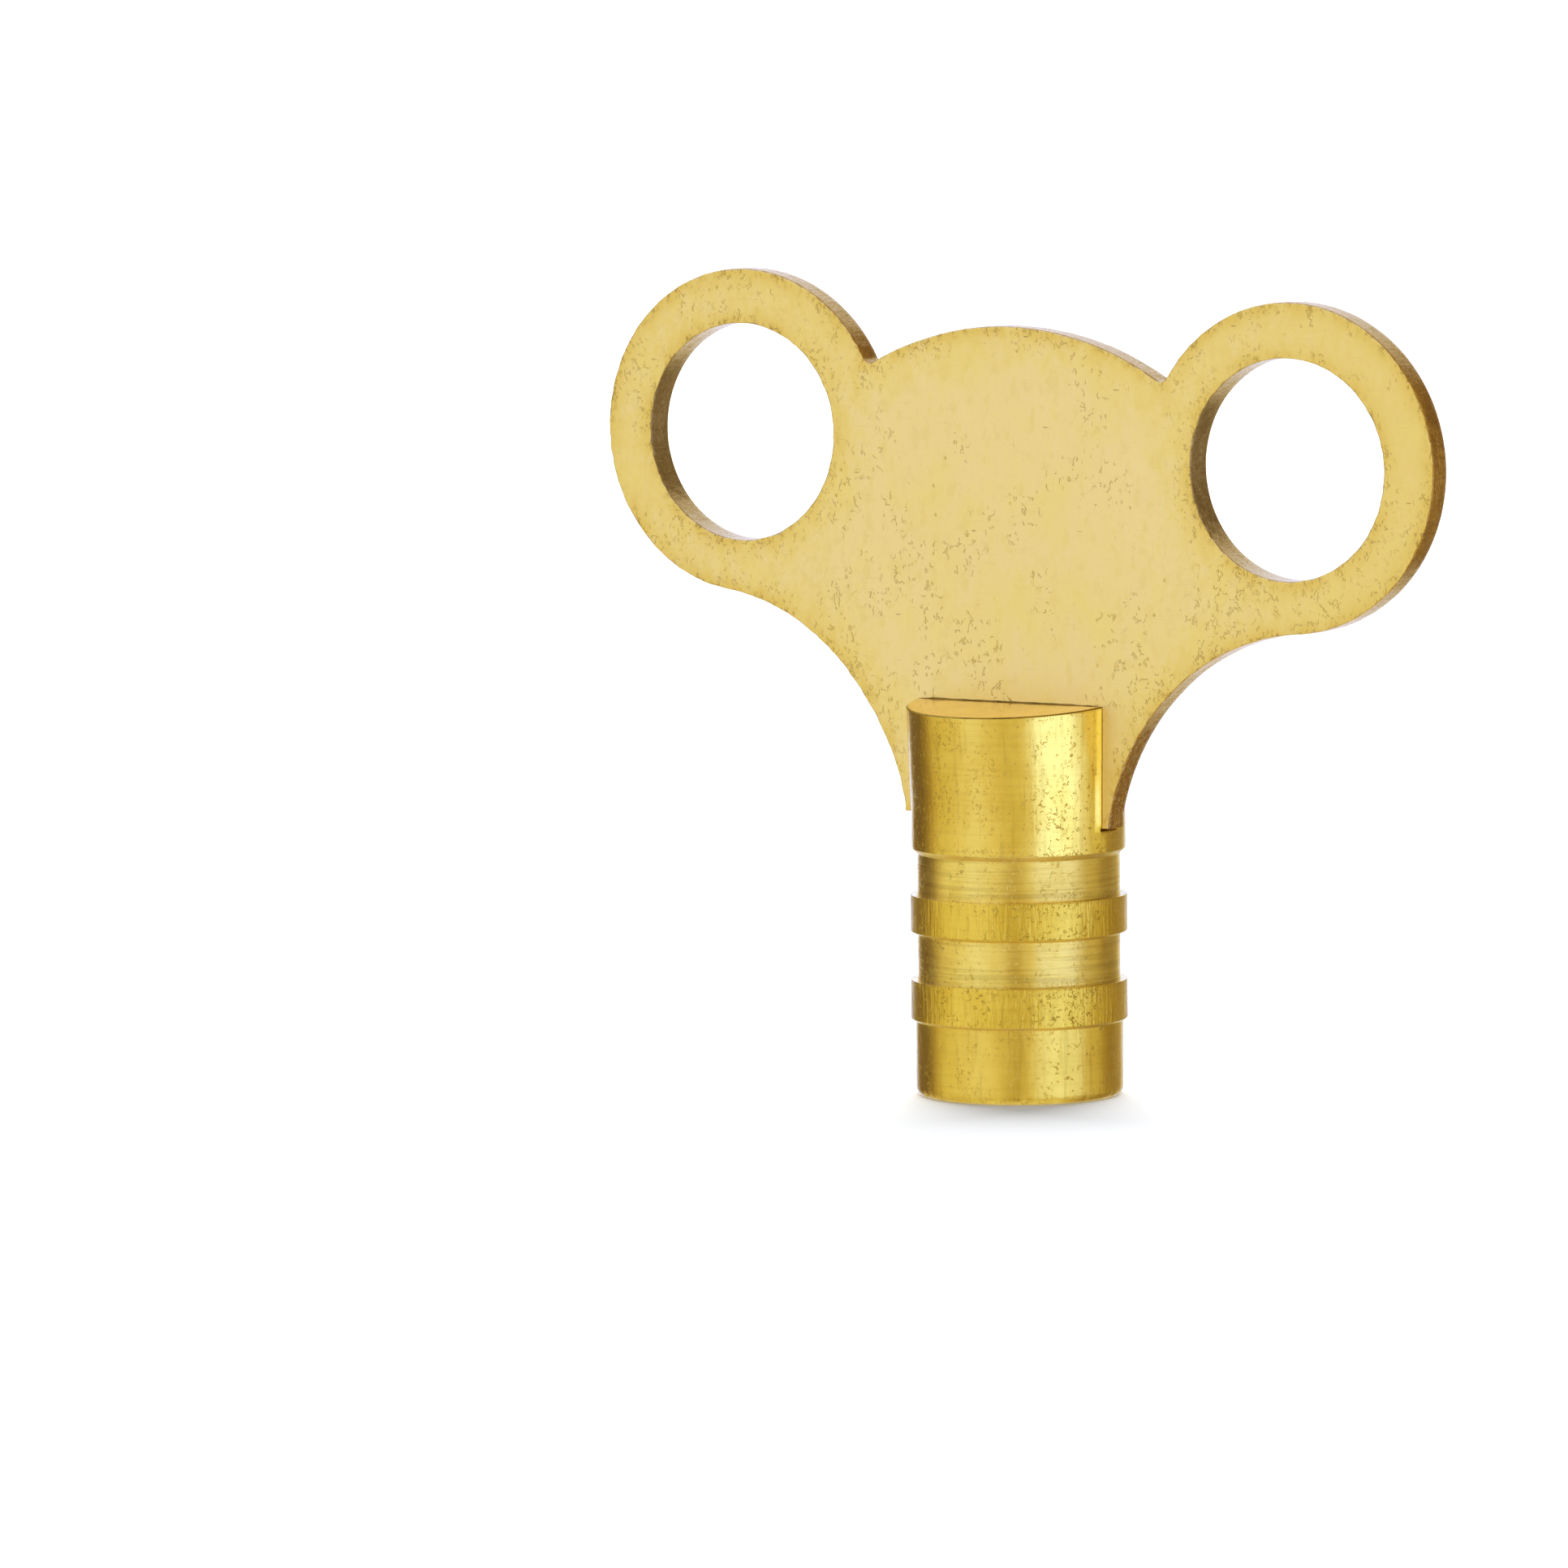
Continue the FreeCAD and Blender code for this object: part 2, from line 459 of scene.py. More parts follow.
def wing_outline(spacing):
    """The plate's outline, anticlockwise from the tang's right-hand corner."""
    a_tang = math.pi - math.asin((TANG_Z - FLANK_Z) / FLANK_R)
    a_join = math.atan2(EAR_Z - FLANK_Z, EAR_X - FLANK_X)
    e0 = math.atan2(FLANK_Z - EAR_Z, FLANK_X - EAR_X)
    # the notch's rounding touches the ear's circle and the dome's from outside
    fx, fz = circles_meet(EAR_X, EAR_Z, EAR_R + NOTCH_R, 0, DOME_Z, DOME_R + NOTCH_R)
    e1 = math.atan2(fz - EAR_Z, fx - EAR_X)
    d0 = math.atan2(fz - DOME_Z, fx)
    right = arc_points(FLANK_X, FLANK_Z, FLANK_R, a_tang, a_join, spacing)
    right += arc_points(EAR_X, EAR_Z, EAR_R, e0, e1, spacing)
    start = e1 + math.pi
    turn = (d0 + math.pi - start + math.pi) % (2 * math.pi) - math.pi
    right += arc_points(fx, fz, NOTCH_R, start, start + turn, spacing * 0.6)
    right += arc_points(0, DOME_Z, DOME_R, d0, math.pi / 2, spacing)
    left = []
    for x, z in right[::-1]:
        flank = smooth01((EAR_Z - EAR_R + 0.2 - z) / 1.5)
        wide = lerp(LEFT_NARROW, LEFT_WIDE, smooth01((z - 11.4) / 5.6)) * flank
        left.append((-x - wide, z))
    foot_r = right[0][0]
    foot_l = left[-1][0]
    foot = [(x, TANG_Z) for x in steps(foot_l, foot_r, spacing)[1:]]
    return right + [(0, DOME_Z + DOME_R)] + left + foot


def circles_meet(ax, az, ar, bx, bz, br):
    """Where two circles cross, the upper of the two points."""
    span = math.hypot(ax - bx, az - bz)
    along = (ar ** 2 - br ** 2 + span ** 2) / (2 * span)
    off = math.sqrt(ar ** 2 - along ** 2)
    ux = (bx - ax) / span
    uz = (bz - az) / span
    one = (ax + along * ux + off * uz, az + along * uz - off * ux)
    two = (ax + along * ux - off * uz, az + along * uz + off * ux)
    return max(one, two, key=lambda p: p[1])


def loop_normals(loop):
    """Outward normals of a closed anticlockwise loop, mitred at its corners."""
    out = []
    n = len(loop)
    for i in range(n):
        a = Vector(loop[i - 1])
        b = Vector(loop[i])
        c = Vector(loop[(i + 1) % n])
        e = (b - a).normalized()
        f = (c - b).normalized()
        m = Vector((e.y + f.y, -e.x - f.x))
        m = m / max(m.length, 1e-9)
        stretch = 1 / max(0.45, m.dot(Vector((e.y, -e.x))))
        out.append(m * stretch)
    return out


# (inward offset, place through the thickness): a crisp front edge and a rolled-over back edge;
# the holes' back edge is crisp too, so only BORE_ROLL of the offset is used there
BORE_ROLL = 0.12
WALL = [(0.046, -0.65), (0.018, -0.641), (0.004, -0.618), (0.0, -0.59)]
WALL += [(0.0, lerp(-0.59, 0.22, k / 11)) for k in range(1, 12)]
WALL += [(0.010, 0.33), (0.030, 0.43), (0.062, 0.52), (0.105, 0.60), (0.165, 0.65)]
# how deep the broad nicks and the small beads go on the first rows of WALL, at the front rim
NICKS = (0.030, 0.034, 0.028, 0.012)
BEADS = (0.030, 0.032, 0.022, 0.008)


def wall_noise(x, y, z, s):
    """Roughness of the sheared edge: smooth near the front, torn deeper in."""
    torn = smooth01((y + 0.52) / 0.35) * smooth01((0.5 - y) / 0.2)
    grain = noise.noise(Vector((x * 2.6, y * 4.0 + s, z * 2.6)))
    fine = noise.noise(Vector((x * 6.5, y * 9.0 + s, z * 6.5)))
    slow = noise.noise(Vector((x * 0.5, s, z * 0.5)))
    return 0.012 * slow + torn * (0.016 * grain + 0.012 * fine)


def build_plate():
    spacing = 0.115
    loops = [wing_outline(spacing)]
    for sx in (1, -1):
        ring = arc_points(sx * EAR_X + HOLE_SHIFT, HOLE_Z, HOLE_R, 0, -2 * math.pi, spacing)
        loops.append(ring)
    verts = []
    faces = []
    finishes = []
    front_rings = []
    back_rings = []
    for k, loop in enumerate(loops):
        normals = loop_normals(loop)
        rows = []
        for row, (inset, y) in enumerate(WALL):
            ids = []
            for (x, z), m in zip(loop, normals):
                wob = wall_noise(x, y, z, k * 13.0)
                deep = inset * (BORE_ROLL if k and y > 0 else 1.0)
                if z < TANG_Z + 0.6:
                    deep *= lerp(0.25, 1.0, smooth01((z - TANG_Z) / 0.6))
                nick = 0.0
                if row < len(NICKS):
                    nick = noise.noise(Vector((x * 2.7, 5 + k, z * 2.7))) + 0.25
                    nick = NICKS[row] * max(0.0, nick) * 1.6
                    bead = max(0.0, noise.noise(Vector((x * 5.2, 9 + k, z * 5.2))))
                    nick += BEADS[row] * bead
                d = wob - deep - nick
                verts.append(Vector((x + m.x * d, y, z + m.y * d)))
                ids.append(len(verts) - 1)
            rows.append(ids)
        n = len(loop)
        for r in range(len(rows) - 1):
            for i in range(n):
                j = (i + 1) % n
                faces.append([rows[r][i], rows[r][j], rows[r + 1][j], rows[r + 1][i]])
                kind = "bore" if k else "wall"
                finishes.append("face" if r == 0 or r == len(rows) - 2 else kind)
        front_rings.append(rows[0])
        back_rings.append(rows[-1])

    # the two faces, filled with even triangles so that they can undulate slightly
    inside = []
    pitch = 0.42
    z = TANG_Z + 0.2
    row = 0
    while z < EAR_Z + EAR_R:
        x = -EAR_X - EAR_R + (pitch / 2 if row % 2 else 0)
        while x < EAR_X + EAR_R:
            if edge_distance(x, z) > 0.30:
                inside.append((x, z))
            x += pitch
        z += pitch * 0.87
        row += 1
    for side, rings in ((-1, front_rings), (1, back_rings)):
        coords = []
        ids = []
        edges = []
        owner = {}
        for number, ring in enumerate(rings):
            start = len(coords)
            owner.update((v, number) for v in ring)
            for v in ring:
                coords.append(Vector((verts[v].x, verts[v].z)))
                ids.append(v)
            m = len(ring)
            edges += [(start + i, start + (i + 1) % m) for i in range(m)]
        for x, zz in inside:
            coords.append(Vector((x, zz)))
            verts.append(Vector((x, side * PLATE_T / 2, zz)))
            ids.append(len(verts) - 1)
        out_co, _, tris, orig, _, _ = delaunay_2d_cdt(coords, edges, [], 1, 1e-7)
        lookup = [ids[o[0]] for o in orig]
        for t in tris:
            c = sum((out_co[q] for q in t), Vector((0, 0))) / 3
            tri = [lookup[q] for q in t]
            rims = {owner.get(v, 0) for v in tri}
            if len(rims) == 1 and 0 not in rims and in_ring(c, rings[rims.pop()], verts):
                continue
            faces.append(tri if side < 0 else tri[::-1])
            finishes.append("face")
    return verts, faces, finishes


def in_ring(c, ring, verts):
    """Whether a point of the plate's face lies inside a closed ring of its vertices."""
    inside = False
    for i in range(len(ring)):
        a = verts[ring[i - 1]]
        b = verts[ring[i]]
        if (a.z > c.y) != (b.z > c.y) and c.x < a.x + (c.y - a.z) * (b.x - a.x) / (b.z - a.z):
            inside = not inside
    return inside


def edge_distance(x, z):
    """How far a point of the plate lies from its nearest edge or hole; negative outside."""
    ax = abs(x)
    ear = EAR_R - math.hypot(ax - EAR_X, z - EAR_Z)
    hole = math.hypot(x - math.copysign(EAR_X, x) - HOLE_SHIFT, z - HOLE_Z) - HOLE_R
    body = math.hypot(ax - FLANK_X, z - FLANK_Z) - FLANK_R
    body = min(body, z - TANG_Z, EAR_X + 0.5 - ax)
    if z > DOME_Z:
        body = min(body, DOME_R - math.hypot(x, z - DOME_Z))
    else:
        line = (EAR_Z - FLANK_Z) * (ax - FLANK_X) - (EAR_X - FLANK_X) * (z - FLANK_Z)
        if line > 0:
            body = -1.0
    return min(max(ear, body), hole)


def finish_plate(obj):
    """Slight undulation of the rolled sheet, a few knocks on its faces, then its askew seat."""

    def on_face(c):
        side = 1 if c[3] > 0.5 else -1
        x = lerp(-19.5, 19.5, c[0])
        z = lerp(15.0, 33.3, c[1])
        return Vector((x, side * PLATE_T / 2, z)), lerp(0.35, 0.9, c[2]), lerp(0.006, 0.016, c[2])

    knocks = dent_field(seed=61.7, count=70, place=on_face)
    turn = Matrix.Translation((PLATE_SHIFT, 0, ROLL_Z)) @ Matrix.Rotation(PLATE_ROLL, 4, "Y")
    turn = turn @ Matrix.Translation((0, 0, -ROLL_Z))
    border = obj.data.attributes.new("border", "FLOAT", "POINT")
    for v in obj.data.vertices:
        p = v.co.copy()
        border.data[v.index].value = math.exp(-max(0.0, edge_distance(p.x, p.z)) / 0.55)
        if abs(p.y) > 0.6:
            side = 1 if p.y > 0 else -1
            away = smooth01((p.z - BARREL_TOP - 0.2) / 2)
            move = 0.010 * noise.noise(Vector((p.x * 0.16, side * 4, p.z * 0.2)))
            for c, rad, depth in knocks:
                if c.y * side > 0:
                    d = math.hypot(p.x - c.x, p.z - c.z) / rad
                    if d < 1:
                        move -= depth * (1 - d * d) ** 2
            p.y += side * move * away
        v.co = turn @ p
    obj.data.update()


# ---------------------------------------------------------------- materials
class Nodes:
    """Short way to write a material's node tree."""

    def __init__(self, name):
        self.mat = bpy.data.materials.new(name)
        self.mat.use_nodes = True
        self.tree = self.mat.node_tree
        self.tree.nodes.clear()

    def add(self, kind, settings=None, **inputs):
        node = self.tree.nodes.new(kind)
        for k, v in (settings or {}).items():
            setattr(node, k, v)
        for k, v in inputs.items():
            self.put(node, k, v)
        return node

    def put(self, node, key, value):
        index = int(key[1:]) if key[0] == "i" and key[1:].isdigit() else key.replace("_", " ")
        socket = node.inputs[index]
        if isinstance(value, bpy.types.NodeSocket):
            self.tree.links.new(value, socket)
        else:
            socket.default_value = value

    def math(self, op, a, b=0.0):
        node = self.add("ShaderNodeMath", {"operation": op}, i0=a, i1=b)
        return node.outputs[0]

    def ramp(self, fac, low, high):
        """0 below low, 1 above high, smooth between."""
        node = self.add("ShaderNodeMapRange", {"interpolation_type": "SMOOTHSTEP"})
        self.put(node, "Value", fac)
        node.inputs["From Min"].default_value = low
        node.inputs["From Max"].default_value = high
        return node.outputs[0]

    def mix(self, fac, a, b):
        node = self.add("ShaderNodeMix", {"data_type": "RGBA"})
        self.put(node, "i0", fac)
        self.put(node, "i6", a if isinstance(a, bpy.types.NodeSocket) else (*a, 1))
        self.put(node, "i7", b if isinstance(b, bpy.types.NodeSocket) else (*b, 1))
        return node.outputs[2]

    def noise(self, vector, scale, detail=2.0, rough=0.5):
        node = self.add("ShaderNodeTexNoise", Vector=vector, Scale=scale, Detail=detail, Roughness=rough)
        return node.outputs["Fac"]

    def dots(self, vector, inner, outer):
        """Scattered dots: 1 within the inner radius, 0 beyond the outer one."""
        node = self.add("ShaderNodeTexVoronoi", {"feature": "F1"}, Vector=vector, Scale=1.0)
        return self.math("SUBTRACT", 1.0, self.ramp(node.outputs["Distance"], inner, outer))

    def stretched(self, vector, sx, sy, sz, shift=0.0):
        """Coordinates multiplied along each axis, and shifted so that no two noises look alike."""
        node = self.add("ShaderNodeMapping", Vector=vector)
        node.inputs["Scale"].default_value = (sx, sy, sz)
        node.inputs["Location"].default_value = (shift, shift * 0.7, -shift)
        return node.outputs[0]

    def millimetres(self):
        """Object coordinates in millimetres."""
        coord = self.add("ShaderNodeTexCoord")
        return self.stretched(coord.outputs["Object"], 1000, 1000, 1000)

    def bump(self, height, depth_mm, strength=1.0, normal=None):
        node = self.add("ShaderNodeBump", Height=height, Strength=strength, Distance=depth_mm * MM)
        if normal is not None:
            self.put(node, "Normal", normal)
        return node.outputs[0]

    def metal(self, color, rough, normal, anisotropy=0.0, tangent=None):
        out = self.add("ShaderNodeOutputMaterial")
        node = self.add("ShaderNodeBsdfPrincipled", Base_Color=color, Roughness=rough, Normal=normal)
        node.inputs["Metallic"].default_value = 1.0
        node.inputs["Anisotropic"].default_value = anisotropy
        node.inputs["Anisotropic Rotation"].default_value = 0.25
        if tangent is not None:
            self.put(node, "Tangent", tangent)
        self.tree.links.new(node.outputs[0], out.inputs[0])
        return self.mat


def curls(t, p, fine, seed, low, high):
    """Short curly marks: pieces of the level lines of a fine noise, kept only in some patches."""
    field = t.noise(t.stretched(p, fine, fine, fine * 0.7, seed), 1.0, 2.0, 0.55)
    off_line = t.math("ABSOLUTE", t.math("SUBTRACT", field, 0.5))
    line = t.math("SUBTRACT", 1.0, t.ramp(off_line, 0.004, 0.034))
    patch = t.noise(t.stretched(p, fine * 0.16, fine * 0.16, fine * 0.12, seed + 6), 1.0, 2.0, 0.5)
    broken = t.noise(t.stretched(p, fine * 1.3, fine * 1.3, fine * 1.1, seed + 19), 1.0, 1.0, 0.5)
    line = t.math("MULTIPLY", line, t.ramp(broken, 0.53, 0.60))
    return t.math("MULTIPLY", line, t.ramp(patch, low, high))


def sheet_brass():
    """Pale satin face of the rolled sheet: tarnish in soft clouds, small pits and handling marks."""
    t = Nodes("sheet_brass")
    p = t.millimetres()
    border = t.add("ShaderNodeAttribute", {"attribute_name": "border"}).outputs["Fac"]
    cloud = t.noise(t.stretched(p, 0.17, 1.0, 0.13, 9.0), 1.0, 3.0, 0.55)
    patch = t.noise(t.stretched(p, 0.75, 1.0, 0.42, 31.0), 1.0, 4.0, 0.62)
    blot = t.noise(t.stretched(p, 2.1, 1.0, 1.3, 47.0), 1.0, 3.0, 0.6)
    hair = t.noise(t.stretched(p, 0.5, 3.0, 16.0, 3.0), 1.0, 2.0, 0.6)
    grain = t.noise(t.stretched(p, 5.5, 5.5, 3.6, 70.0), 1.0, 3.0, 0.65)
    side = t.add("ShaderNodeSeparateXYZ", Vector=p).outputs["X"]
    ears = t.ramp(t.math("ABSOLUTE", side), 6.0, 11.0)
    color = t.mix(t.ramp(cloud, 0.36, 0.66), (0.915, 0.704, 0.305), (0.905, 0.690, 0.258))
    color = t.mix(t.math("MULTIPLY", t.ramp(patch, 0.50, 0.66), 0.65), color, (0.925, 0.700, 0.320))
    gold = t.math("ADD", 0.35, t.math("MULTIPLY", ears, 0.40))
    gold = t.math("MULTIPLY", t.ramp(patch, 0.47, 0.34), gold)
    color = t.mix(gold, color, (0.880, 0.682, 0.195))
    mottle = t.math("ADD", 0.06, t.math("MULTIPLY", ears, 0.26))
    mottle = t.math("MULTIPLY", t.ramp(grain, 0.46, 0.64), mottle)
    color = t.mix(mottle, color, (0.74, 0.53, 0.15))
    color = t.mix(t.math("MULTIPLY", t.ramp(side, 7.0, 18.0), 0.50), color, (0.866, 0.640, 0.160))
    near = t.math("POWER", border, 0.35)
    gold = t.math("MULTIPLY", t.ramp(near, 0.12, 0.62), t.ramp(blot, 0.25, 0.62))
    color = t.mix(t.math("MULTIPLY", gold, 0.85), color, (0.885, 0.668, 0.205))
    color = t.mix(t.math("MULTIPLY", t.ramp(blot, 0.53, 0.68), 0.34), color, (0.82, 0.60, 0.18))
    color = t.mix(t.math("MULTIPLY", t.ramp(hair, 0.60, 0.76), 0.16), color, (0.62, 0.43, 0.14))
    edge = t.math("MULTIPLY", t.ramp(border, 0.06, 0.85), t.ramp(patch, 0.28, 0.56))
    color = t.mix(t.math("MULTIPLY", edge, 0.75), color, (0.80, 0.55, 0.11))
    stain = t.math("MULTIPLY", t.ramp(border, 0.45, 1.0), t.ramp(grain, 0.50, 0.66))
    stain = t.math("MULTIPLY", stain, t.ramp(patch, 0.34, 0.62))
    color = t.mix(t.math("MULTIPLY", stain, 0.85), color, (0.30, 0.165, 0.04))
    # small brown pits and nibbled marks, gathered in upright clusters
    where = t.ramp(t.noise(t.stretched(p, 0.55, 1.0, 0.22, 55.0), 1.0, 2.0, 0.5), 0.54, 0.66)
    pit = t.dots(t.stretched(p, 2.6, 2.6, 1.7, 4.0), 0.05, 0.20)
    pit = t.math("MULTIPLY", pit, where)
    curl = curls(t, p, 2.7, 91.0, 0.52, 0.62)
    rim_curl = t.math("MULTIPLY", curls(t, p, 3.4, 12.0, 0.42, 0.56), t.ramp(near, 0.35, 0.80))
    mark = t.math("MAXIMUM", pit, t.math("MULTIPLY", t.math("MAXIMUM", curl, rim_curl), 0.9))
    color = t.mix(t.math("MULTIPLY", mark, 0.38), color, (0.54, 0.36, 0.10))
    line = t.dots(t.stretched(p, 0.35, 1.0, 2.2, 17.0), 0.02, 0.07)
    color = t.mix(t.math("MULTIPLY", line, 0.45), color, (0.46, 0.30, 0.10))
    rough = t.math("ADD", 0.32, t.math("MULTIPLY", patch, 0.10))
    rough = t.math("ADD", rough, t.math("MULTIPLY", mark, 0.12))
    normal = t.bump(patch, 0.012, 0.7)
    normal = t.bump(hair, 0.0025, 0.5, normal)
    normal = t.bump(t.math("MULTIPLY", t.math("ADD", mark, line), -1.0), 0.020, 0.9, normal)
    return t.metal(color, rough, normal)


def sheared_brass(name, light, deep, torn, low_reflection_share, low_reflection_from, low_reflection_to):
    """Stamped wall with torn, paler grain, and more of it lower down as a painted reflection: starting below
    low_reflection_from, all of it at low_reflection_to, mm up.
    """
    t = Nodes(name)
    p = t.millimetres()
    grain = t.noise(t.stretched(p, 5.0, 7.0, 5.0), 1.0, 4.0, 0.7)
    broad = t.noise(t.stretched(p, 0.9, 1.6, 0.9, 8.0), 1.0, 3.0, 0.55)
    drag = t.noise(t.stretched(p, 9.0, 0.9, 9.0, 2.0), 1.0, 2.0, 0.5)
    color = t.mix(t.ramp(broad, 0.38, 0.62), light, deep)
    height = t.add("ShaderNodeSeparateXYZ", Vector=p).outputs["Z"]
    # the torn grain is real; the extra pale grain towards the bottom of the walls is painted reflection
    torn = t.math("ADD", torn, t.math("MULTIPLY", t.ramp(height, low_reflection_from, low_reflection_to), low_reflection_share))
    color = t.mix(t.math("MULTIPLY", t.ramp(grain, 0.50, 0.66), torn), color, (0.86, 0.70, 0.46))
    color = t.mix(t.math("MULTIPLY", t.ramp(grain, 0.47, 0.33), 0.60), color, (0.26, 0.14, 0.045))
    color = t.mix(t.math("MULTIPLY", t.ramp(drag, 0.56, 0.72), 0.35), color, (0.30, 0.17, 0.05))
    # painted reflection: walls that face up or down are painted palest, standing in for the bright light
    # they reflect
    true_normal = t.add("ShaderNodeNewGeometry").outputs["Normal"]
    facing = t.add("ShaderNodeSeparateXYZ", Vector=true_normal).outputs["Z"]
    painted_reflection = t.ramp(t.math("ABSOLUTE", facing), 0.48, 0.74)
    color = t.mix(t.math("MULTIPLY", painted_reflection, 0.80), color, (0.92, 0.71, 0.40))
    rough = t.math("ADD", 0.18, t.math("MULTIPLY", grain, 0.14))
    normal = t.bump(grain, 0.07, 0.9)
    normal = t.bump(drag, 0.03, 0.8, normal)
    return t.metal(color, rough, normal)


# what each turned finish looks like: how fine the lines round it are and how deep, how fine the
# streaks up it are (across, along) and how deep, how deep the specks and curls are, and how
# strongly lines, streaks, curls and specks colour it; depths in mm
FINISH = {
    "satin": dict(
        rings=7.0, ring_depth=0.003, up=(3.4, 0.25), up_depth=0.010, mark_depth=0.013,
        paint=(0.12, 0.26, 0.26, 0.24),
    ),
    "rolled": dict(
        rings=5.0, ring_depth=0.003, up=(5.5, 0.60), up_depth=0.050, mark_depth=0.030,
        paint=(0.10, 0.26, 0.40, 0.26),
    ),
    "cut": dict(
        rings=6.0, ring_depth=0.040, up=(1.5, 1.2), up_depth=0.002, mark_depth=0.014,
        paint=(0.40, 0.04, 0.10, 0.10),
    ),
    "clean": dict(
        rings=3.0, ring_depth=0.001, up=(2.5, 2.5), up_depth=0.0012, mark_depth=0.002,
        paint=(0.05, 0.08, 0.12, 0.08),
    ),
}


def turned_brass(name, light, deep, rough_base, anisotropy, finish, seed):
    """Lathe finish: fine rings from the tool, upright streaks, soft stains, specks and curly scuffs."""
    t = Nodes(name)
    p = t.millimetres()
    look = FINISH[finish]
    border = t.add("ShaderNodeAttribute", {"attribute_name": "border"}).outputs["Fac"]
    rings = t.noise(t.stretched(p, 0.16, 0.16, look["rings"], seed), 1.0, 2.0, 0.6)
    across, along = look["up"]
    streak = t.noise(t.stretched(p, across, across, along, seed + 4), 1.0, 3.0, 0.6)
    stain = t.noise(t.stretched(p, 0.75, 0.75, 0.38, seed + 9), 1.0, 3.0, 0.6)
    speck = t.noise(t.stretched(p, 4.6, 4.6, 5.2, seed + 13), 1.0, 4.0, 0.7)
    curl = curls(t, p, 4.4, seed + 21, 0.50, 0.62)
    worn = curls(t, p, 5.2, seed + 33, 0.40, 0.58)
    curl = t.math("MAXIMUM", curl, t.math("MULTIPLY", worn, t.ramp(border, 0.12, 0.60)))
    ring_paint, streak_paint, curl_paint, speck_paint = look["paint"]
    color = t.mix(t.ramp(stain, 0.38, 0.66), light, deep)

    def darken(where, share, down_to):
        return t.mix(t.math("MULTIPLY", where, share), color, tuple(q * down_to for q in deep))

    color = darken(t.ramp(rings, 0.46, 0.64), ring_paint, 0.58)
    color = darken(t.ramp(streak, 0.54, 0.70), streak_paint, 0.55)
    gather = t.ramp(stain, 0.36, 0.58)
    spot = t.math("MULTIPLY", t.ramp(speck, 0.59, 0.70), gather)
    color = darken(spot, speck_paint, 0.36)
    color = darken(curl, curl_paint, 0.42)
    rough = t.math("ADD", rough_base, t.math("MULTIPLY", streak, 0.07))
    rough = t.math("ADD", rough, t.math("MULTIPLY", spot, 0.12))
    normal = t.bump(rings, look["ring_depth"], 0.9)
    normal = t.bump(streak, look["up_depth"], 0.8, normal)
    normal = t.bump(t.math("MULTIPLY", t.math("MAXIMUM", spot, curl), -1.0), look["mark_depth"], 1.0, normal)
    if anisotropy:
        tangent = t.add("ShaderNodeTangent", {"direction_type": "RADIAL", "axis": "Z"}).outputs[0]
        return t.metal(color, rough, normal, anisotropy, tangent)
    return t.metal(color, rough, normal)


def socket_brass():
    """Darker brown inside of the socket, with lines left by the broach along it."""
    t = Nodes("socket_brass")
    p = t.millimetres()
    lines = t.noise(t.stretched(p, 9.0, 9.0, 0.35), 1.0, 3.0, 0.6)
    stain = t.noise(t.stretched(p, 0.9, 0.9, 0.9, 5.0), 1.0, 3.0, 0.6)
    color = t.mix(t.ramp(stain, 0.35, 0.7), (0.52, 0.33, 0.09), (0.36, 0.22, 0.06))
    color = t.mix(t.math("MULTIPLY", t.ramp(lines, 0.5, 0.75), 0.4), color, (0.22, 0.12, 0.03))
    rough = t.math("ADD", 0.30, t.math("MULTIPLY", lines, 0.15))
    normal = t.bump(lines, 0.02, 0.7)
    return t.metal(color, rough, normal)


# ---------------------------------------------------------------- build the pieces
# linear colours: the metal and the deeper tone of its stained patches
GOLD = (0.83, 0.585, 0.105)
GOLD_DEEP = (0.77, 0.52, 0.080)
PALE = (0.97, 0.735, 0.178)
PALE_DEEP = (0.90, 0.65, 0.132)
bright = turned_brass("turned_upper", GOLD, GOLD_DEEP, 0.16, 0.35, "satin", 5.0)
banded = turned_brass("turned_band", (0.86, 0.60, 0.085), (0.79, 0.53, 0.062), 0.31, 0.80, "rolled", 21.0)
cut = turned_brass("turned_groove", PALE, PALE_DEEP, 0.27, 1.0, "cut", 37.0)
lower = turned_brass("turned_end", (0.85, 0.60, 0.10), (0.79, 0.535, 0.078), 0.27, 0.85, "satin", 52.0)
# painted light: the chamfers under the bands are painted paler, standing in for the bright floor they
# reflect
under = turned_brass("turned_step", (0.89, 0.69, 0.21), (0.83, 0.62, 0.17), 0.32, 0.0, "satin", 61.0)
ledge = turned_brass("turned_ledge", PALE, PALE_DEEP, 0.16, 0.0, "satin", 66.0)
sawn = turned_brass("sawn_top", (0.99, 0.735, 0.190), (0.93, 0.66, 0.14), 0.17, 0.0, "clean", 71.0)
# the jaws' top rim: dark worn brass, and partly painted shade along the edge
worn = turned_brass("rim_wear_and_shade", (0.52, 0.35, 0.055), (0.26, 0.16, 0.022), 0.36, 0.0, "rolled", 83.0)
dark = turned_brass("seam_oxide", (0.40, 0.26, 0.060), (0.22, 0.13, 0.025), 0.50, 0.0, "rolled", 97.0)
# painted highlight: the strip beside the slot is painted bright, standing in for the light its burred edge
# catches and the plate it reflects
seam = turned_brass("seam_side_highlight", (1.0, 0.76, 0.15), (0.95, 0.68, 0.09), 0.20, 0.0, "clean", 91.0)
hollow = socket_brass()
BARREL_FINISHES = {
    "upper": bright,
    "rib": banded,
    "groove": cut,
    "end": lower,
    "under": under,
    "ledge": ledge,
    "seam": seam,
    "top": sawn,
    "rim": worn,
    "crease": dark,
    "slot": cut,
    "mouth": lower,
    "sink": bright,
    "socket": hollow,
}
barrel = mesh_object("barrel_turned", *build_barrel(), list(BARREL_FINISHES))
soften_edges(barrel, width=0.035, degrees=24)
finish_barrel(barrel)
shade(barrel, 50)
for m in BARREL_FINISHES.values():
    barrel.data.materials.append(m)

